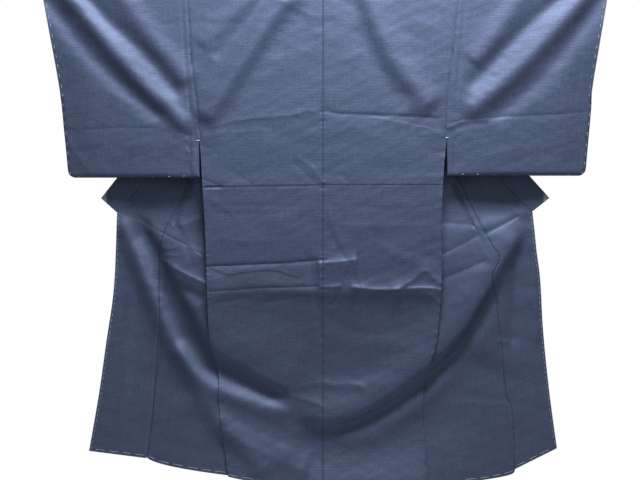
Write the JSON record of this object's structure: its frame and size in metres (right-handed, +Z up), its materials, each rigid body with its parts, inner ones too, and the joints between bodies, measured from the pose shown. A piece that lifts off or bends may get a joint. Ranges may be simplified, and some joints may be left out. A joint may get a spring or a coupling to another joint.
{
  "type": "kimono on a rod",
  "caption": "Man's unlined kimono hung on a plain rod through its sleeves, back to the viewer, with the fronts opened out to the sides.",
  "frame": {"origin": "middle of the rod's axis, where the part is held up", "axes": "+X along the rod, to the right as the viewer of the garment's back sees it; +Y away from that viewer, toward the wall; +Z up"},
  "size_m": [1.56, 0.0891, 1.3542],
  "materials": {
    "navy_cloth": "matt slubbed plain weave",
    "pale_wood": "satin"
  },
  "bodies": {
    "root": {"body_left": "navy_cloth", "body_right": "navy_cloth", "sleeve_left": "navy_cloth", "sleeve_right": "navy_cloth", "okumi_left": "navy_cloth", "okumi_right": "navy_cloth", "collar": "navy_cloth", "rod": "pale_wood"}
  },
  "joints": []
}
